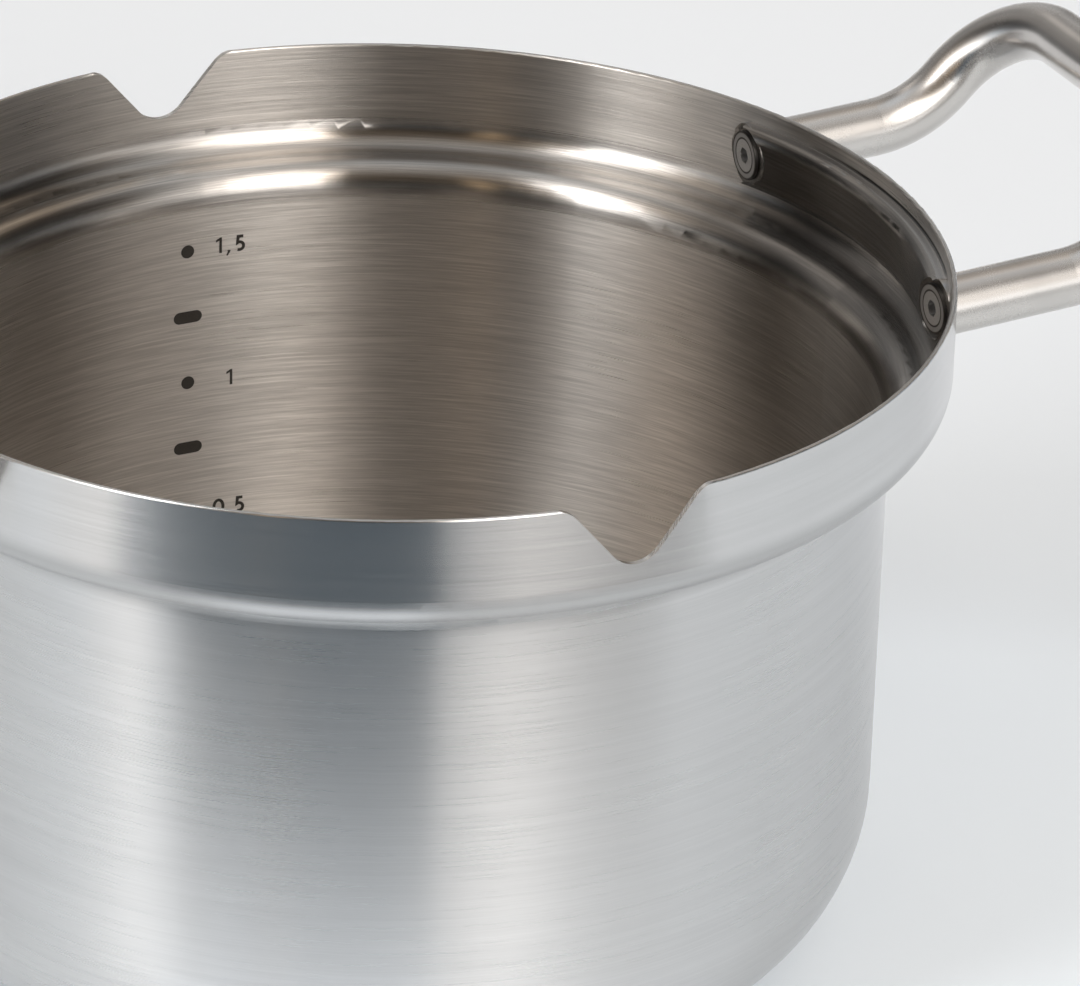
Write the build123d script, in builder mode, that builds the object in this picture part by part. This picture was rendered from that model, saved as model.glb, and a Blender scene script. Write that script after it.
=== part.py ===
from build123d import *
from math import acos, asin, cos, degrees, radians, sin, tan
import os

# Milk pan with a wide collar, two pouring lips and two loop handles.
# Millimetres. +Z is up, the handles lie along X and the pouring lips face +Y and -Y.
# The origin is the middle of the underside, on the surface that the pan stands on.

# Pan body
sheet = 0.9  # steel sheet of the drawn body
body_radius = 81.0  # outside, where the wall meets the lower corner
wall_draft = 0.36  # degrees, the wall widens upwards
corner_radius = 29.6  # outside, large lower corner
corner_turn = 41.0  # degrees that the large corner turns before the tighter knuckle
knuckle_radius = 5.6  # outside, between the large corner and the flat floor
corner_top = 27.5  # height where the lower corner begins

# Collar
rim_height = 115.0
collar_height = 19.1  # from the underside of the ledge to the rim
ledge_width = 9.75  # the collar stands out this far beyond the wall below it
ledge_bend = 5.5  # outside, ledge to collar
shoulder_bend = 4.1  # outside, wall to ledge
rim_round = 0.3

# Pouring lips, one V on each side
lip_half_width = 11.3  # at the rim, before the rounding
lip_slope = 50.0  # degrees from level
lip_root_round = 5.0
lip_rim_round = 4.5
lip_skim = 0.02  # the cutting form's shoulders pass this far above the rim

# Sandwich base
core_thickness = 5.3
cap_sheet = 0.8
base_inset = 13.0  # the steel cap's outside lies this far inside the body's
base_edge_round = 3.5
core_fit = 0.05  # radial room round the aluminium core

# Handle seats, pressed into the collar
seat_depth = 8.18  # flat inside face of each seat, measured inwards from the collar
seat_spread = 33.0  # each screw's distance from the pan's middle plane
seat_drop = 8.1  # the seats' centres lie this far below the rim
seat_lip = 0.3  # the round seat is this much smaller than the pressed form round it
band_depth = 3.3  # pressed band that joins two seats, measured inwards from the collar
band_nose_round = 1.8
press_wall = 0.5  # sheet left round a tube's end
band_wall = 0.8  # sheet left above and below the hollow behind the band

# Tube handles
tube_radius = 4.85
tube_wall = 1.0
socket_fit = 0.05  # radial room round the tube's end in the collar
end_trim = 1.0  # the tube is made this much too long at its seats, then cut flat
leg_rise = 2.6  # degrees, the legs leave the collar rising a little
leg_length = 31.2  # from the seat to the corner of the upward bend
loop_tilt = 46.0  # degrees from level, the plane that the loop is bent in
loop_length = 25.2  # from the corner of the upward bend to the crossbar's centre line
lift_bend = 21.0  # centre line radius of the upward bend
loop_bend = 16.7  # centre line radius of the loop's two corners

# Plugs and screws
plug_fit = 0.05  # radial room between plug and tube
plug_length = 13.0
screw_head_radius = 4.15
screw_head = 0.55
screw_radius = 1.77  # plain shank as thick as the thread's pitch diameter
screw_length = 10.5
screw_fit = 0.05  # radial room round the screw
key_flats = 2.5  # hexagonal recess in the screw head
key_depth = 2.0

# Heights, radii and places that follow from the sizes above
shell_floor = cap_sheet + core_thickness  # underside of the drawn body
ledge_height = rim_height - collar_height  # underside of the ledge
wall_top_radius = body_radius + (ledge_height - corner_top) * tan(radians(wall_draft))
collar_radius = wall_top_radius + ledge_width
collar_inside = collar_radius - sheet
seat_plane = collar_inside - seat_depth
seat_height = rim_height - seat_drop
tube_seat = seat_plane + sheet  # where the tubes' ends bear
socket_radius = tube_radius + socket_fit
press_radius = socket_radius + press_wall  # half the height of the pressed form
band_radius = collar_inside - band_depth  # inside face of the pressed band
band_back = band_radius + sheet  # floor of the hollow behind the band
band_angle = degrees(asin(seat_spread / band_radius))
hollow_angle = degrees(acos(tube_seat / band_back))  # the hollow runs out at the seats
leg_direction = Vector(cos(radians(leg_rise)), 0, sin(radians(leg_rise)))
loop_direction = Vector(cos(radians(loop_tilt)), 0, sin(radians(loop_tilt)))
sides = (1, -1)


def body_outline():
    """Corners of the body's outside, from the axis up to the rim, and their roundings."""
    setback = corner_radius * tan(radians((corner_turn + wall_draft) / 2))
    corner_z = corner_top - setback * cos(radians(wall_draft))
    corner_r = body_radius - setback * sin(radians(wall_draft))
    knuckle_r = corner_r - (corner_z - shell_floor) * tan(radians(corner_turn))
    points = [
        (0, shell_floor),
        (knuckle_r, shell_floor),
        (corner_r, corner_z),
        (wall_top_radius, ledge_height),
        (collar_radius, ledge_height),
        (collar_radius, rim_height),
    ]
    return points, [knuckle_radius, corner_radius, shoulder_bend, ledge_bend]


def leg_start(side):
    """Middle of a leg's end face, on the collar's seat."""
    return Vector(tube_seat, side * seat_spread, seat_height)


def leg_plane(side):
    """Plane square to a leg, a little inside the collar."""
    return Plane(origin=leg_start(side) - leg_direction * end_trim, z_dir=leg_direction)


def band_section(inner, outer, half_height, nose, half_angle):
    """Ring segment with a rounded nose, between two seats at their height."""
    with BuildPart() as band:
        with BuildSketch(Plane.XZ.rotated((0, 0, -half_angle))) as section:
            with Locations(((inner + outer) / 2, seat_height)):
                Rectangle(outer - inner, 2 * half_height)
            fillet(section.vertices().group_by(Axis.X)[0], nose)
        revolve(axis=Axis.Z, revolution_arc=2 * half_angle)
    return band.part


def at_seats():
    """The middles of one handle's two seats, on a plane square to X."""
    return Locations(*[(side * seat_spread, seat_height) for side in sides])


# What one handle's press adds to the collar: a round cup at each seat, which runs back
# into the collar's sheet, and the band between the cups
band_outer = collar_inside + sheet / 2
band_skin = band_section(band_radius, band_outer, press_radius, band_nose_round, band_angle)
with BuildPart() as press_form:
    with BuildSketch(Plane.YZ.offset(seat_plane)):
        with at_seats():
            Circle(press_radius)
    extrude(amount=seat_depth)
    with BuildSketch(Plane.XY):
        Circle(band_outer)
    extrude(amount=rim_height, mode=Mode.INTERSECT)
    add(band_skin)

# What the press takes away: the hollow behind the band, the round seats inside and
# the screw holes
band_hollow = band_section(
    band_back,
    collar_radius + ledge_width,
    press_radius - band_wall,
    band_nose_round - sheet,
    hollow_angle,
)
with BuildPart() as press_hollow:
    add(band_hollow)
    with BuildSketch(Plane.YZ.offset(seat_plane)):
        with at_seats():
            Circle(press_radius - seat_lip)
    extrude(amount=-2 * band_depth)
    with BuildSketch(Plane.YZ.offset(seat_plane)):
        with at_seats():
            Circle(screw_radius + screw_fit)
    extrude(amount=2 * sheet)

# Sockets for the tubes' ends, outside the seats
with BuildPart() as tube_sockets:
    for side in sides:
        with BuildSketch(leg_plane(side)):
            Circle(socket_radius)
        extrude(amount=2 * ledge_width)
    split(bisect_by=Plane.YZ.offset(tube_seat), keep=Keep.TOP)

# Both pouring lips in one cut: a V with a round root and round shoulders
lip_depth = lip_half_width * tan(radians(lip_slope))
lip_reach = lip_half_width + 2 * lip_rim_round
lip_top = rim_height + lip_skim
with BuildPart() as lip_cutter:
    with BuildSketch(Plane.XZ):
        with BuildLine():
            edge = FilletPolyline(
                (-lip_reach, lip_top),
                (-lip_half_width, lip_top),
                (0, lip_top - lip_depth),
                (lip_half_width, lip_top),
                (lip_reach, lip_top),
                radius=[lip_rim_round, lip_root_round, lip_rim_round],
            )
            Polyline(
                edge @ 1,
                (lip_reach, lip_top + sheet),
                (-lip_reach, lip_top + sheet),
                edge @ 0,
            )
        make_face()
    extrude(amount=collar_radius + sheet, both=True)

# Drawn steel body: bowl, ledge and collar in one skin, then the lips and the presses
with BuildPart() as pan_shell:
    with BuildSketch(Plane.XZ) as wall:
        with BuildLine():
            outline, roundings = body_outline()
            FilletPolyline(*outline, radius=roundings)
            offset(amount=sheet, side=Side.LEFT)
        make_face()
        fillet(wall.vertices().group_by(Axis.Y)[-1], rim_round)
    revolve(axis=Axis.Z)
    add(lip_cutter.part, mode=Mode.SUBTRACT)
    with PolarLocations(0, len(sides)):
        add(press_form.part)
    with PolarLocations(0, len(sides)):
        add(press_hollow.part, mode=Mode.SUBTRACT)
        add(tube_sockets.part, mode=Mode.SUBTRACT)


def floor_disc(radius, bottom, edge_round):
    """Disc from the given height up to the body's flat floor, its lower edge rounded."""
    with BuildPart() as disc:
        with BuildSketch(Plane.XY.offset(bottom)):
            Circle(radius)
        extrude(amount=shell_floor - bottom)
        fillet(disc.edges().group_by(Axis.Z)[0], edge_round)
    return disc.part


# Aluminium core of the base, and the steel cap that closes it in
base_radius = body_radius - base_inset
core_radius = base_radius - cap_sheet - core_fit
core_round = base_edge_round - cap_sheet
base_core = floor_disc(core_radius, cap_sheet, core_round)
with BuildPart() as base_cap:
    add(floor_disc(base_radius, 0, base_edge_round))
    add(floor_disc(core_radius + core_fit, cap_sheet, core_round), mode=Mode.SUBTRACT)


def loop_points():
    """Corners of a handle's centre line, from one leg's end to the other."""
    half = []
    start = leg_start(1)
    lift = start + leg_direction * leg_length
    crest = lift + loop_direction * loop_length
    for point in (start - leg_direction * end_trim, lift, crest):
        half.append(point)
    return half + [Vector(p.X, -p.Y, p.Z) for p in reversed(half)]


# Loop handle of bent steel tube
with BuildPart() as handle_right:
    with BuildLine() as loop:
        FilletPolyline(*loop_points(), radius=[lift_bend, loop_bend, loop_bend, lift_bend])
    with BuildSketch(leg_plane(1)):
        Circle(tube_radius)
        Circle(tube_radius - tube_wall, mode=Mode.SUBTRACT)
    sweep(path=loop.wire())
    split(bisect_by=Plane.YZ.offset(tube_seat), keep=Keep.TOP)


def leg_plug(side):
    """Steel plug inside a leg's end, bored for the screw."""
    with BuildPart() as plug:
        with BuildSketch(leg_plane(side)):
            Circle(tube_radius - tube_wall - plug_fit)
        extrude(amount=end_trim + plug_length)
        split(bisect_by=Plane.YZ.offset(tube_seat), keep=Keep.TOP)
        with BuildSketch(Plane.YZ.offset(tube_seat)):
            with Locations((side * seat_spread, seat_height)):
                Circle(screw_radius + screw_fit)
        extrude(amount=end_trim + plug_length, mode=Mode.SUBTRACT)
    return plug.part


def seat_screw(side):
    """Flat-headed screw with a hexagonal recess, from inside the pan into a plug."""
    with BuildPart() as screw:
        with BuildSketch(Plane.YZ.offset(seat_plane - screw_head)):
            with Locations((side * seat_spread, seat_height)):
                Circle(screw_head_radius)
        extrude(amount=screw_head)
        with BuildSketch(Plane.YZ.offset(seat_plane)):
            with Locations((side * seat_spread, seat_height)):
                Circle(screw_radius)
        extrude(amount=screw_length)
        with BuildSketch(Plane.YZ.offset(seat_plane - screw_head)):
            with Locations((side * seat_spread, seat_height)):
                RegularPolygon(key_flats / 2, 6, major_radius=False)
        extrude(amount=key_depth, mode=Mode.SUBTRACT)
    return screw.part


pieces = {
    "pan_shell": pan_shell.part,
    "base_core": base_core,
    "base_cap": base_cap.part,
    "handle_right": handle_right.part,
}
for side, place in zip(sides, ("back", "front")):
    pieces[f"plug_right_{place}"] = leg_plug(side)
    pieces[f"screw_right_{place}"] = seat_screw(side)

# The second handle and its fastenings are the first ones turned half round
for name in [n for n in pieces if "_right" in n]:
    twin = name.replace("right", "left")
    if name.endswith("back"):
        twin = twin.replace("back", "front")
    elif name.endswith("front"):
        twin = twin.replace("front", "back")
    pieces[twin] = pieces[name].rotate(Axis.Z, 180)

os.makedirs("parts", exist_ok=True)
for name, piece in pieces.items():
    piece.label = name
    export_step(piece, f"parts/{name}.step")
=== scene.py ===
import bpy
from math import cos, pi, radians, sin, tan
from mathutils import Matrix, Vector


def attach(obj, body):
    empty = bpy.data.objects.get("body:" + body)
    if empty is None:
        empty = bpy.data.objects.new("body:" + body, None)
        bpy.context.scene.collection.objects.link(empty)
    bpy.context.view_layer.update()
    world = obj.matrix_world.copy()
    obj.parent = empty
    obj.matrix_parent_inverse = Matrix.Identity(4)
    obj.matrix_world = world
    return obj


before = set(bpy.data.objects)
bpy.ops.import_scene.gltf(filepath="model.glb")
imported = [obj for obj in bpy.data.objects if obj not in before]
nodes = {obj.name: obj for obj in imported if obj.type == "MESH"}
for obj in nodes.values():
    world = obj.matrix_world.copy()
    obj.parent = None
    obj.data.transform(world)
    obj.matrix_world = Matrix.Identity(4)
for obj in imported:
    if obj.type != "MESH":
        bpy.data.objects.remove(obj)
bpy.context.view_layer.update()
mm = 0.001

# Sizes of the pan that its marks and finishes need, in millimetres, as in the part
wall_outside = 81.0
sheet = 0.9
wall_draft = radians(0.36)
corner_top = 27.5
seat_spread = 33.0
seat_height = 106.9
press_top = 112.3
collar_inside = 90.3

# The photograph's camera: where it stands round the pan, and how it is turned
view_azimuth = radians(-115.0)
view_distance = 1.07541
view_height = 0.60592
view_yaw = 0.0239
view_pitch = 0.4584
view_roll = -0.0254
lens = 247.69
sensor = 36.0
clip_near, clip_far = 0.05, 50.0

# Turns the level line from the camera through the pan to +Y, and what is right of it to +X
front_turn = -pi / 2 - view_azimuth


# Camera

def make_camera():
    heading = view_azimuth + pi - view_yaw
    level = cos(view_pitch)
    forward = Vector((cos(heading) * level, sin(heading) * level, -sin(view_pitch)))
    right = Vector((sin(heading), -cos(heading), 0.0))
    down = forward.cross(right)
    turned_right = cos(view_roll) * right + sin(view_roll) * down
    turned_down = cos(view_roll) * down - sin(view_roll) * right
    data = bpy.data.cameras.new("photo_camera")
    data.lens = lens
    data.sensor_width = sensor
    data.clip_start, data.clip_end = clip_near, clip_far
    camera = bpy.data.objects.new("photo_camera", data)
    turn = Matrix((turned_right, -turned_down, -forward)).transposed()
    place = Vector((cos(view_azimuth), sin(view_azimuth), 0.0)) * view_distance
    place.z = view_height
    camera.matrix_world = Matrix.Translation(place) @ turn.to_4x4()
    bpy.context.scene.collection.objects.link(camera)
    bpy.context.scene.camera = camera


# Node helpers

class Nodes:
    """Builds a node tree with few words."""

    def __init__(self, tree):
        self.tree = tree

    def add(self, kind, **settings):
        node = self.tree.nodes.new(kind)
        for key, value in settings.items():
            setattr(node, key, value)
        return node

    def feed(self, socket, value):
        if hasattr(value, "is_linked"):
            self.tree.links.new(value, socket)
        else:
            socket.default_value = value

    def math(self, operation, a, b=0.0, c=0.0):
        node = self.add("ShaderNodeMath", operation=operation)
        for socket, value in zip(node.inputs, (a, b, c)):
            self.feed(socket, value)
        return node.outputs[0]

    def product(self, first, *others):
        for other in others:
            first = self.math("MULTIPLY", first, other)
        return first

    def weigh(self, a, a_weight, b, b_weight):
        return self.math("MULTIPLY_ADD", a, a_weight, self.math("MULTIPLY", b, b_weight))

    def vector(self, operation, a, b=(0.0, 0.0, 0.0), scale=None):
        node = self.add("ShaderNodeVectorMath", operation=operation)
        self.feed(node.inputs[0], a)
        self.feed(node.inputs[1], b)
        if scale is not None:
            self.feed(node.inputs["Scale"], scale)
        return node.outputs["Value" if operation in ("LENGTH", "DOT_PRODUCT") else "Vector"]

    def place(self):
        return self.add("ShaderNodeTexCoord").outputs["Object"]

    def split(self, vector):
        node = self.add("ShaderNodeSeparateXYZ")
        self.feed(node.inputs[0], vector)
        return node.outputs[0], node.outputs[1], node.outputs[2]

    def join(self, x=0.0, y=0.0, z=0.0):
        node = self.add("ShaderNodeCombineXYZ")
        for socket, value in zip(node.inputs, (x, y, z)):
            self.feed(socket, value)
        return node.outputs[0]

    def noise(self, where, scale=1.0, detail=2.0, roughness=0.5):
        node = self.add("ShaderNodeTexNoise")
        self.feed(node.inputs["Vector"], where)
        self.feed(node.inputs["Scale"], scale)
        self.feed(node.inputs["Detail"], detail)
        self.feed(node.inputs["Roughness"], roughness)
        return node.outputs["Fac"]

    def spread(self, value, low, high, to_low=0.0, to_high=1.0):
        node = self.add("ShaderNodeMapRange", clamp=True)
        self.feed(node.inputs["Value"], value)
        ends = (("From Min", low), ("From Max", high), ("To Min", to_low), ("To Max", to_high))
        for name, number in ends:
            self.feed(node.inputs[name], number)
        return node.outputs["Result"]

    def rise(self, value, span, to_low=0.0, to_high=1.0):
        """From the low number to the high one, across a span in millimetres."""
        return self.spread(value, span[0] * mm, span[1] * mm, to_low, to_high)

    def fall(self, value, span):
        """From one to nought, across a span in millimetres."""
        return self.rise(value, span, 1.0, 0.0)

    def level(self, share, none, full):
        """A number that follows a share: none at nought, full at one."""
        return self.spread(share, 0.0, 1.0, none, full)

    def blend(self, share, a, b):
        """Numbers mixed."""
        node = self.add("ShaderNodeMix")
        self.feed(node.inputs[0], share)
        self.feed(node.inputs[2], a)
        self.feed(node.inputs[3], b)
        return node.outputs[0]

    def mix(self, share, a, b):
        """Colours mixed."""
        node = self.add("ShaderNodeMix", data_type="RGBA")
        self.feed(node.inputs[0], share)
        self.feed(node.inputs[6], a)
        self.feed(node.inputs[7], b)
        return node.outputs[2]

    def ramp(self, value, stops):
        node = self.add("ShaderNodeValToRGB")
        ramp = node.color_ramp
        ramp.interpolation = "LINEAR"
        while len(ramp.elements) > 1:
            ramp.elements.remove(ramp.elements[-1])
        ramp.elements[0].position = stops[0][0]
        ramp.elements[0].color = stops[0][1]
        for position, colour in stops[1:]:
            ramp.elements.new(position).color = colour
        self.feed(node.inputs[0], value)
        return node.outputs[0]

    def front(self, vector):
        """A vector's parts in the photograph's terms: to the right, away from the camera and up.
        The last is the angle at which it stands round the pan, in radians to the right of the
        camera."""
        node = self.add("ShaderNodeVectorRotate", rotation_type="Z_AXIS")
        self.feed(node.inputs["Vector"], vector)
        node.inputs["Angle"].default_value = front_turn
        right, away, up = self.split(node.outputs[0])
        angle = self.math("ARCTAN2", right, self.math("MULTIPLY", away, -1.0))
        return right, away, up, angle


def shade(name, constants):
    """A new material, and its shader with the numbers that are the same all over."""
    material = bpy.data.materials.new(name)
    material.use_nodes = True
    material.node_tree.nodes.clear()
    build = Nodes(material.node_tree)
    shader = build.add("ShaderNodeBsdfPrincipled")
    for socket, number in constants.items():
        shader.inputs[socket].default_value = number
    out = build.add("ShaderNodeOutputMaterial")
    material.node_tree.links.new(shader.outputs[0], out.inputs["Surface"])
    return material, build, shader


def tilt(build, shader, height, strength, distance):
    """Fine relief, where distance in metres is what a height of one stands for."""
    bump = build.add("ShaderNodeBump")
    bump.inputs["Strength"].default_value = strength
    bump.inputs["Distance"].default_value = distance
    build.feed(bump.inputs["Height"], height)
    build.feed(shader.inputs["Normal"], bump.outputs[0])


def grey(level, warmth=0.0):
    """A grey of that level, warmer above zero and cooler below."""
    return (level * (1 + warmth), level, level * (1 - warmth), 1.0)


# Materials

# Most values of a noise lie between these
noise_low, noise_high = 0.3, 0.7

# Brushing: length of a streak round the pan and its width across, in millimetres
fine_streak = (30.0, 0.22)
broad_streak = (70.0, 1.6)
hair_streak = (14.0, 0.34)

# Where the pan's finish changes. Each is the span of a soft edge, in millimetres: of height, of
# radius, or of the distance from the plane through the handles.
collar_foot = (94.0, 99.0)
press_radius = (89.3, 89.9)
press_foot = (100.3, 101.2)
ledge_foot = (90.5, 92.5)
ledge_top = (100.0, 102.0)
ledge_side = (34.0, 46.0)

# A face is turned outward where its normal times its place, in metres, is above this, and inward
# where it is below minus this
outward_edge = 0.02

# The painted shade in the crease over a press: how far above the press it lies, half its width,
# its two ends along the collar, and the radius from which it shows
crease_lift = 0.12
crease_edge = (0.13, 0.33)
crease_start = (-35.0, -32.0)
crease_tail = (6.0, 22.0)
crease_radius = (collar_inside - 0.5, collar_inside - 0.3)

# Painted shade: the steel's brightness as a share of its plain tone, in the presses and on the
# ledge next to them, on the rest of the ledge, and outside behind the ledge. Then the inside's
# tint, darker and warmer as painted shade, how the hairs on it vary, and the crease's painted
# shade.
press_shade = 0.42
ledge_shade = 0.68
outer_ledge_shade = 0.78
inside_shade_tint = (0.96, 0.91, 0.855)
hair_low, hair_high = 0.38, 0.7
hair_tones = (0.88, 1.22)
crease_shade_tone = (0.03, 0.1)

# Roughness and relief of the bowl's inside and of the presses and ledge, the same outside below
# the collar and from there up, where the relief is one
inside_roughness = (0.29, 0.22)
inside_relief = (4.0, 0.25)
outside_roughness = (0.285, 0.25)
outside_relief = 0.16

# A screw's head, in millimetres from its middle: recess, inner edge of the turned ring, the
# ring's groove and half its width, and the gap at the rim. All are painted darker, as painted
# shade.
recess_edge = (1.15, 1.35)
ring_edge = (2.9, 3.05)
groove_radius = 2.95
groove_edge = (0.08, 0.22)
rim_edge = (3.75, 3.95)


def round_streaks(build, length, width):
    """Coordinates that draw a noise out into streaks round the pan's axis."""
    x, y, z = build.split(build.place())
    flat = build.join(x, y)
    ring = build.vector("SCALE", build.vector("NORMALIZE", flat), scale=wall_outside / length)
    across = build.math("ADD", build.vector("LENGTH", flat), z)
    return build.vector("ADD", ring, build.join(z=build.product(across, 1 / (width * mm))))


def press_crease_shade(build):
    """Share of the painted shade in the crease along the top of each press, where it runs out into
    the collar.
    """
    where = build.place()
    x, y, z = build.split(where)
    off = build.math("ABSOLUTE", build.math("SUBTRACT", z, (press_top + crease_lift) * mm))
    along = build.product(y, build.math("SIGN", x))
    radius = build.vector("LENGTH", build.vector("MULTIPLY", where, (1.0, 1.0, 0.0)))
    return build.product(
        build.fall(off, crease_edge),
        build.fall(along, crease_tail),
        build.rise(along, crease_start),
        build.rise(radius, crease_radius),
    )


def pan_faces(build, steel):
    """Colour, roughness and relief of the pan's body. They differ between its outside and its
    inside, and in the handles' presses and on the ledge under the collar. The inside, the presses
    and the ledge are painted darker, as painted shade."""
    where = build.place()
    _, y, z = build.split(where)
    flat = build.vector("MULTIPLY", where, (1.0, 1.0, 0.0))
    normal = build.add("ShaderNodeNewGeometry").outputs["True Normal"]
    facing = build.vector("DOT_PRODUCT", normal, flat)
    outward = build.spread(facing, -outward_edge, outward_edge)
    collar = build.rise(z, collar_foot)
    deep = build.fall(build.vector("LENGTH", flat), press_radius)
    press = build.product(deep, build.rise(z, press_foot))
    ledge = build.product(build.rise(z, ledge_foot), build.fall(z, ledge_top))
    beside = build.fall(build.math("ABSOLUTE", y), ledge_side)
    shaded = build.math("MAXIMUM", press, build.product(ledge, beside))
    behind = build.product(ledge, build.math("SUBTRACT", 1.0, beside))
    formed = build.math("MAXIMUM", press, ledge)

    hairs = build.noise(round_streaks(build, *hair_streak), detail=3.0, roughness=0.65)
    # Painted shade: the inside is darkened and warmed, and darkened more in the presses and on the
    # ledge
    inside = steel
    for share in (
        build.spread(hairs, hair_low, hair_high, *hair_tones),
        build.level(shaded, 1.0, press_shade),
        build.level(behind, 1.0, ledge_shade),
    ):
        inside = build.vector("SCALE", inside, scale=share)
    inside = build.vector("MULTIPLY", inside, inside_shade_tint)
    # Painted shade: the crease over each press is drawn dark
    inside = build.mix(press_crease_shade(build), inside, grey(*crease_shade_tone))
    # Painted shade: the ledge outside is drawn darker
    outside = build.vector("SCALE", steel, scale=build.level(ledge, 1.0, outer_ledge_shade))

    colour = build.mix(outward, inside, outside)
    roughness = build.blend(outward, build.level(formed, *inside_roughness),
                            build.level(collar, *outside_roughness))
    relief = build.blend(outward, build.level(formed, *inside_relief), outside_relief)
    return colour, roughness, relief


def brushed_round(name, dark, light, anisotropy, strength, roughness=None):
    """Steel brushed round the pan's axis. With no roughness of its own it is the pan's body,
    whose faces differ."""
    material, build, shader = shade(name, {
        "Metallic": 1.0,
        "Anisotropic": anisotropy,
        "Anisotropic Rotation": 0.25,
    })
    fine = build.noise(round_streaks(build, *fine_streak), detail=4.0, roughness=0.65)
    broad = build.noise(round_streaks(build, *broad_streak), detail=3.0, roughness=0.55)
    cloud = build.noise(build.place(), scale=38.0, detail=3.0)
    tone = build.weigh(fine, 0.6, broad, 0.4)
    colour = build.mix(build.spread(tone, 0.32, 0.68), dark, light)
    lines = build.math("MULTIPLY_ADD", broad, 0.7, fine)
    if roughness is None:
        colour, roughness, relief = pan_faces(build, colour)
        lines = build.product(lines, relief)
    wear = build.math("ADD", build.weigh(fine, 0.08, cloud, 0.05), -0.065)
    build.feed(shader.inputs["Base Color"], colour)
    build.feed(shader.inputs["Roughness"], build.math("ADD", wear, roughness))
    tangent = build.add("ShaderNodeTangent", direction_type="RADIAL", axis="Z")
    build.feed(shader.inputs["Tangent"], tangent.outputs[0])
    tilt(build, shader, lines, strength, distance=0.00002)
    return material


def satin(name, dark, light, roughness):
    """Steel that is evenly dulled."""
    material, build, shader = shade(name, {"Metallic": 1.0})
    where = build.place()
    grain = build.noise(where, scale=5200.0)
    cloud = build.noise(where, scale=90.0, detail=3.0)
    colour = build.mix(build.spread(cloud, noise_low, noise_high), dark, light)
    wear = build.weigh(grain, 0.02, cloud, 0.05)
    build.feed(shader.inputs["Base Color"], colour)
    build.feed(shader.inputs["Roughness"], build.math("ADD", wear, roughness - 0.035))
    tilt(build, shader, grain, strength=0.03, distance=0.000005)
    return material


def screw_finish(name):
    """Dull steel with a turned ring on each flat head, seen from its middle. Its recess, ring,
    groove and rim gap are painted darker, as painted shade.
    """
    material, build, shader = shade(name, {"Metallic": 1.0})
    where = build.place()
    _, y, z = build.split(where)
    across = build.math("SUBTRACT", build.math("ABSOLUTE", y), seat_spread * mm)
    up = build.math("SUBTRACT", z, seat_height * mm)
    middle = build.vector("LENGTH", build.join(across, up))
    off_groove = build.math("ABSOLUTE", build.math("SUBTRACT", middle, groove_radius * mm))
    groove = build.fall(off_groove, groove_edge)
    grain = build.noise(where, scale=3200.0, detail=3.0, roughness=0.6)
    face = build.mix(build.spread(grain, noise_low, noise_high), grey(0.72, 0.01), grey(0.86, 0.01))
    # Painted shade on the turned ring: it is drawn darker
    shaded_ring = build.vector("SCALE", face, scale=0.8)
    face = build.mix(build.rise(middle, ring_edge), face, shaded_ring)
    # Painted shade in the recess
    face = build.vector("SCALE", face, scale=build.rise(middle, recess_edge, 0.3, 0.82))
    # Painted shade in the groove and in the gap at the rim
    dark = build.math("MAXIMUM", groove, build.rise(middle, rim_edge))
    build.feed(shader.inputs["Base Color"], build.mix(dark, face, grey(0.07, 0.05)))
    roughness = build.spread(grain, noise_low, noise_high, 0.36, 0.46)
    build.feed(shader.inputs["Roughness"], roughness)
    height = build.weigh(groove, -1.0, grain, 0.08)
    tilt(build, shader, height, strength=0.3, distance=0.00006)
    return material


def etched(name):
    """The dull black of the litre scale."""
    material, build, shader = shade(name, {})
    speckle = build.noise(build.place(), scale=5200.0)
    colour = build.mix(build.spread(speckle, 0.35, 0.75), grey(0.011, 0.25), grey(0.03, 0.2))
    roughness = build.spread(speckle, noise_low, noise_high, 0.5, 0.75)
    build.feed(shader.inputs["Base Color"], colour)
    build.feed(shader.inputs["Roughness"], roughness)
    tilt(build, shader, speckle, strength=0.3, distance=0.00001)
    return material


finish_of = {
    "pan_shell": brushed_round("brushed_pan", grey(0.535, 0.003), grey(0.605, 0.003),
                               anisotropy=1.0, strength=0.5),
    "base_cap": brushed_round("turned_base", grey(0.55, 0.01), grey(0.66, 0.01),
                              anisotropy=0.8, strength=0.3, roughness=0.34),
    "base_core": brushed_round("plain_core", grey(0.72), grey(0.82),
                               anisotropy=0.6, strength=0.2, roughness=0.36),
    "handle": satin("satin_handle", grey(0.49, 0.045), grey(0.55, 0.045), roughness=0.27),
    "plug": satin("turned_plug", grey(0.45), grey(0.55), roughness=0.34),
    "screw": screw_finish("dull_screw"),
}
mark_black = etched("mark_black")

for name, node in nodes.items():
    finish = finish_of.get(name) or finish_of[name.split("_")[0]]
    node.data.materials.clear()
    node.data.materials.append(finish)
    for face in node.data.polygons:
        face.material_index = 0


# Litre scale on the inner wall. Lengths are in millimetres, and the figures' stroke is a share of
# their height.

mark_azimuth = radians(89.5)
mark_lift = 0.08
letter_height = 2.9
stroke = 0.19
least_mitre = 0.3
dot = (2.4, 2.4)
dash = (5.2, 2.2)


def on_wall(across, height):
    """A point on the inner wall, across is millimetres to the reader's right of the marks."""
    wall = wall_outside - sheet + (height - corner_top) * tan(wall_draft)
    radius = wall - mark_lift
    angle = mark_azimuth - across / radius
    return Vector((radius * cos(angle), radius * sin(angle), height)) * mm


def arc(x, y, rx, ry, start, stop, steps):
    """Points along an ellipse's arc, between two angles in degrees."""
    span = [radians(start + (stop - start) * i / steps) for i in range(steps + 1)]
    return [(x + rx * cos(a), y + ry * sin(a)) for a in span]


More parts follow.
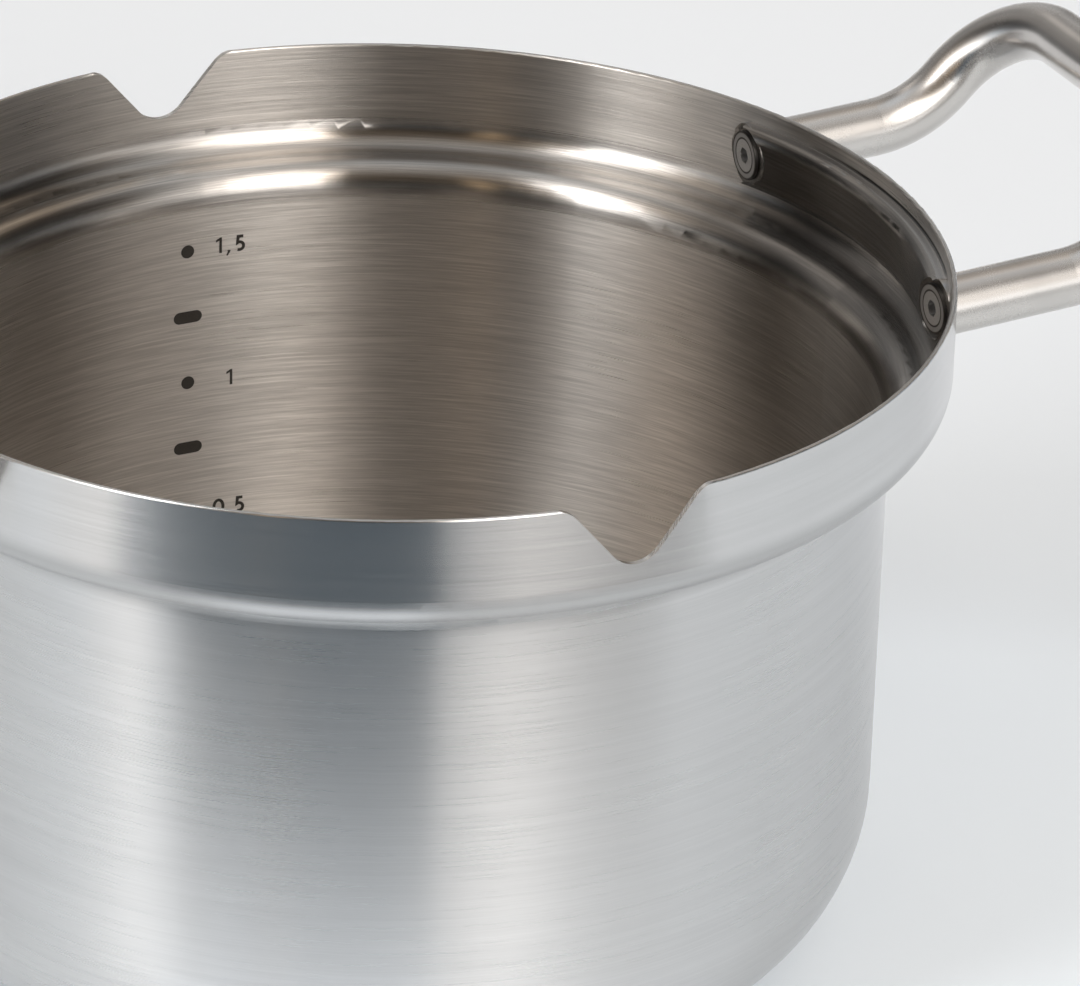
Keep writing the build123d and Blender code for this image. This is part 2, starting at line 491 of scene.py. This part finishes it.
def ribbon(line, closed):
    """A line of points as a band of four-sided faces with mitred corners."""
    line = [Vector(point) for point in line]
    count = len(line)
    points, faces = [], []
    for i, point in enumerate(line):
        after = (i + 1) % count
        sides = []
        if closed or i > 0:
            step = (point - line[i - 1]).normalized()
            sides.append(Vector((-step.y, step.x)))
        if closed or i < count - 1:
            step = (line[after] - point).normalized()
            sides.append(Vector((-step.y, step.x)))
            faces.append((2 * i, 2 * i + 1, 2 * after + 1, 2 * after))
        normal = sum(sides, Vector((0, 0))).normalized()
        reach = stroke / 2 / max(normal.dot(sides[0]), least_mitre)
        points += [point + normal * reach, point - normal * reach]
    return points, faces


def outline(*points):
    """A shape of one face."""
    return points, [tuple(range(len(points)))]


# Figures of height 1: points and faces, and the width
figures = {
    "0": (*ribbon(arc(0.36, 0.5, 0.285, 0.43, 0, 345, 23), True), 0.83),
    "1": (*outline((0.42, 0), (0.42, 1), (0.3, 1), (0.05, 0.85), (0.05, 0.7), (0.26, 0.81),
                   (0.26, 0)), 0.7),
    "5": (*ribbon([(0.5, 0.93), (0.185, 0.93), (0.155, 0.53)]
                  + arc(0.26, 0.32, 0.255, 0.25, 100, -115, 16), False), 0.66),
    ",": (*outline((0.08, 0.13), (0.25, 0.13), (0.23, 0.02), (0.08, -0.22), (-0.02, -0.2),
                   (0.07, 0.02)), 0.53),
}


def mesh_object(name, points, faces, material):
    mesh = bpy.data.meshes.new(name)
    mesh.from_pydata(points, [], faces)
    mesh.validate()
    mesh.materials.append(material)
    made = bpy.data.objects.new(name, mesh)
    bpy.context.scene.collection.objects.link(made)
    return made


def wall_piece(name, points, faces):
    """A piece of the litre scale."""
    piece = mesh_object(name, points, faces, mark_black)
    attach(piece, "root")


def write_on_wall(name, text, left, middle):
    """Figures on the wall, their left edge and the height of their middle in millimetres."""
    points, faces = [], []
    for letter in text:
        shape, shape_faces, width = figures[letter]
        start = len(points)
        for x, y in shape:
            points.append(on_wall(left + x * letter_height, middle + (y - 0.5) * letter_height))
        faces += [tuple(start + i for i in face) for face in shape_faces]
        left += width * letter_height
    wall_piece(name, points, faces)


def mark(name, height, length, thickness):
    """A dot or a dash with round ends."""
    half = (length - thickness) / 2
    radius = thickness / 2
    rim = arc(half, 0, radius, radius, -90, 90, 14) + arc(-half, 0, radius, radius, 90, 270, 14)
    points = [on_wall(0, height)] + [on_wall(x, height + y) for x, y in rim]
    count = len(rim)
    wall_piece(name, points, [(0, 1 + i, 1 + (i + 1) % count) for i in range(count)])


mark("mark_dot_top", 83.6, *dot)
mark("mark_dash_top", 71.4, *dash)
mark("mark_dot_middle", 59.1, *dot)
mark("mark_dash_low", 46.8, *dash)
mark("mark_dot_low", 34.4, *dot)
write_on_wall("figures_top", "1,5", 5.0, 83.9)
write_on_wall("figure_middle", "1", 6.9, 59.0)
write_on_wall("figures_low", "0,5", 4.6, 34.55)


# Stage

# The floor: half its side and how far below the pan it lies, in metres, its shades near the pan,
# where it is painted darker as painted shade, and at the back, and where the one runs into the
# other, in millimetres behind the pan's axis
floor_reach = 6.0
floor_drop = 0.0001
floor_near = ((0.765, 0.81, 0.85, 1), (0.78, 0.825, 0.86, 1))
floor_back = (0.80, 0.835, 0.875, 1)
floor_back_edge = (80.0, 240.0)

# How much light the metal sees the floor give, plainly and at most just in front of the pan. That
# place ends behind and outward, in millimetres, and at both sides, in degrees to the right of the
# camera, where a share of it stays.
glow = 0.256
glow_front = 1.056
glow_tint = (1.0, 1.0, 1.02)
glow_back_edge = (-90.0, -40.0)
glow_reach = (130.0, 165.0)
glow_sides = ((-36, -24), (5, 13))
glow_aside = 0.15

# How much lighter than its shadow the camera sees the floor right of the pan, and where that
# begins and ends: outward, to the right, in front and behind, in millimetres
lift = 0.2
lift_reach = (140.0, 270.0)
lift_right_edge = (0.0, 70.0)
lift_front_edge = (-140.0, -40.0)
lift_back_edge = (90.0, 160.0)

# The card, a painted reflection that only the metal sees: its distance from the pan's axis and
# half its width, near and far, and its height, in metres
card_near = (0.17, 0.30)
card_far = (4.0, 5.0)
card_height = 0.0006


def make_floor():
    """A pale floor that keeps the pan's shadow. Metal sees it lighter than it is."""
    material, build, shader = shade("floor_white", {"Roughness": 0.7, "Specular IOR Level": 0.15})
    r = floor_reach
    floor = mesh_object("studio_floor", [(-r, -r, 0), (r, -r, 0), (r, r, 0), (-r, r, 0)],
                        [(0, 1, 2, 3)], material)
    floor.location.z = -floor_drop
    where = build.place()
    right, away, _, angle = build.front(where)
    distance = build.vector("LENGTH", where)
    near = build.mix(build.noise(where, scale=3.0), *floor_near)
    # Painted shade: the floor is darker near the pan than at the back
    tone = build.mix(build.rise(away, floor_back_edge), near, floor_back)
    build.feed(shader.inputs["Base Color"], tone)

    rays = build.add("ShaderNodeLightPath").outputs
    mirrored = build.math("MAXIMUM", rays["Is Glossy Ray"], rays["Is Transmission Ray"])
    (start, full), (fade, end) = [map(radians, pair) for pair in glow_sides]
    sector = build.product(build.spread(angle, start, full),
                           build.spread(angle, fade, end, 1.0, 0.0))
    ahead = build.product(build.fall(away, glow_back_edge), build.fall(distance, glow_reach),
                          build.level(sector, glow_aside, 1.0))
    beside = build.product(build.fall(away, lift_back_edge), build.fall(distance, lift_reach),
                           build.rise(right, lift_right_edge), build.rise(away, lift_front_edge))
    lifted = build.product(rays["Is Camera Ray"], beside, lift)
    strength = build.math("MULTIPLY_ADD", mirrored, build.level(ahead, glow, glow_front), lifted)
    build.feed(shader.inputs["Emission Color"], build.vector("MULTIPLY", tone, glow_tint))
    build.feed(shader.inputs["Emission Strength"], strength)


# Light: rings of soft light round the pan at four heights. Each stop is an angle to the right of
# the camera in degrees, a level, and how warm it is.
low_ring = [
    (-180, 0.58, 0.0), (-158, 0.62, 0.03), (-148, 0.48, 0.0), (-138, 0.08, 0.0),
    (-120, 0.3, 0.0), (-111, 0.04, 0.0), (-92, 0.04, -0.1), (-86, 0.4, -0.12),
    (-78, 0.95, -0.12), (-69, 1.5, -0.1), (-62, 2.2, -0.03), (-57, 2.6, 0.0),
    (-50, 2.5, 0.0), (-46, 1.3, -0.02), (-43, 0.08, -0.6), (4, 0.08, -0.6),
    (10.5, 0.3, -0.1), (11.5, 1.5, -0.1), (17, 1.9, -0.05), (27, 2.5, 0.0),
    (34, 2.7, 0.0), (39, 2.6, 0.0), (45, 2.3, 0.0), (51, 1.8, 0.0),
    (58, 1.4, 0.0), (82, 1.0, -0.04), (93, 0.4, -0.05), (108, 0.75, -0.08),
    (126, 0.62, -0.18), (141, 0.95, -0.1), (160, 0.22, 0.1), (180, 0.58, 0.0),
]
middle_ring = [
    (-180, 0.62, 0.0), (-162, 0.57, 0.02), (-150, 0.28, 0.0), (-120, 0.4, 0.04),
    (-111, 0.04, 0.0), (-86, 0.0, 0.0), (-69, 0.9, 0.09), (-63, 2.6, 0.02),
    (-57, 5.4, 0.0), (-51, 7.2, 0.0), (-46, 6.4, 0.0), (-43, 0.5, 0.2),
    (-27, 0.05, 0.45), (-23, 0.9, 0.4), (-18, 0.05, 0.45), (12, 0.05, 0.45),
    (13.2, 0.4, 0.4), (14.2, 3.4, 0.08), (17, 4.2, 0.06), (28, 5.6, 0.03),
    (34, 5.0, 0.03), (39, 3.3, 0.04), (45, 1.6, 0.04), (57, 0.9, 0.05),
    (63, 0.45, 0.1), (70, 0.1, 0.1), (77, 0.03, 0.0), (130, 0.03, 0.0),
    (146, 0.36, 0.4), (160, 0.05, 0.0), (180, 0.62, 0.0),
]
high_ring = [
    (-180, 0.4, 0.1), (-165, 0.2, 0.0), (-147, 1.1, 0.06), (-126, 0.25, 0.0),
    (-112, 0.22, 0.1), (-98, 0.58, 0.1), (-76, 0.85, 0.15), (-66, 3.8, 0.04),
    (-58, 6.4, 0.01), (-51, 7.2, 0.01), (-46, 6.2, 0.0), (-43, 0.4, 0.3),
    (-27, 0.08, 0.45), (-23, 0.3, 0.4), (-18, 0.08, 0.45), (12.5, 0.1, 0.45),
    (14, 3.4, 0.12), (18, 4.8, 0.08), (27, 6.4, 0.06), (34, 6.4, 0.06),
    (40, 4.6, 0.06), (47, 2.4, 0.05), (57, 0.8, 0.0), (69, 0.2, 0.07),
    (78, 0.06, 0.3), (98, 0.0, 0.0), (120, 0.0, 0.0), (145, 1.0, 0.2),
    (160, 0.6, 0.1), (180, 0.4, 0.1),
]
top_ring = [
    (-180, 0.95, -0.05), (-130, 0.9, -0.05), (-90, 0.7, 0.0), (-45, 0.65, 0.05),
    (0, 0.65, 0.05), (45, 0.75, 0.05), (110, 0.85, 0.0), (140, 0.9, -0.05),
    (180, 0.95, -0.05),
]
brightest = 8.0

# The rings above the low one, each with the elevations in degrees between which it takes over
upper_rings = ((middle_ring, 11, 19), (high_ring, 31, 39), (top_ring, 54, 66))

# The painted reflection that the card shows in each direction, as the rings say it
card_reflection_ring = [
    (-60, 0.75, 0.0), (-48, 0.75, 0.0), (-43, 0.05, -0.6), (9, 0.05, -0.6),
    (12, 0.2, -0.1), (24, 0.4, 0.0), (42, 0.3, 0.0), (60, 0.12, 0.0),
]


def ring_colour(build, angle, ring, full=1.0):
    """A ring's colour at an angle, where the level full is white."""
    share = build.math("MULTIPLY_ADD", angle, 1 / (2 * pi), 0.5)
    stops = [(0.5 + a / 360, grey(level / full, warmth)) for a, level, warmth in ring]
    return build.ramp(share, stops)


def make_world():
    world = bpy.data.worlds.new("studio")
    bpy.context.scene.world = world
    world.use_nodes = True
    world.node_tree.nodes.clear()
    build = Nodes(world.node_tree)
    direction = build.add("ShaderNodeTexCoord").outputs["Generated"]
    *_, up, angle = build.front(direction)
    elevation = build.math("ARCSINE", up)
    light = ring_colour(build, angle, low_ring, brightest)
    for ring, start, full in upper_rings:
        share = build.spread(elevation, radians(start), radians(full))
        light = build.mix(share, light, ring_colour(build, angle, ring, brightest))
    background = build.add("ShaderNodeBackground")
    build.feed(background.inputs["Color"], light)
    background.inputs["Strength"].default_value = brightest
    out = build.add("ShaderNodeOutputWorld")
    world.node_tree.links.new(background.outputs[0], out.inputs["Surface"])


def make_reflection_card():
    """A card on the floor in front of the pan, which only the metal sees: a painted reflection,
    mostly dark, that follows the rings in each direction.
    """
    turn = Matrix.Rotation(view_azimuth, 3, "Z")
    (near, near_side), (far, far_side) = card_near, card_far
    corners = [(near, -near_side), (far, -far_side), (far, far_side), (near, near_side)]
    points = [turn @ Vector((x, y, card_height)) for x, y in corners]
    material, build, shader = shade("painted_reflection", {"Roughness": 0.9})
    card = mesh_object("painted_reflection_card", points, [(0, 1, 2, 3)], material)
    where = build.place()
    *_, angle = build.front(where)
    # Painted reflection: the card's colour is the rings' light, a little uneven
    unevenness = build.spread(build.noise(where, scale=60.0), noise_low, noise_high, 0.95, 1.05)
    colour = build.vector("SCALE", ring_colour(build, angle, card_reflection_ring), scale=unevenness)
    build.feed(shader.inputs["Base Color"], colour)
    card.visible_camera = False
    card.visible_diffuse = False
    card.visible_shadow = False


make_camera()
make_floor()
make_reflection_card()
make_world()
bpy.context.scene.view_settings.view_transform = "Standard"
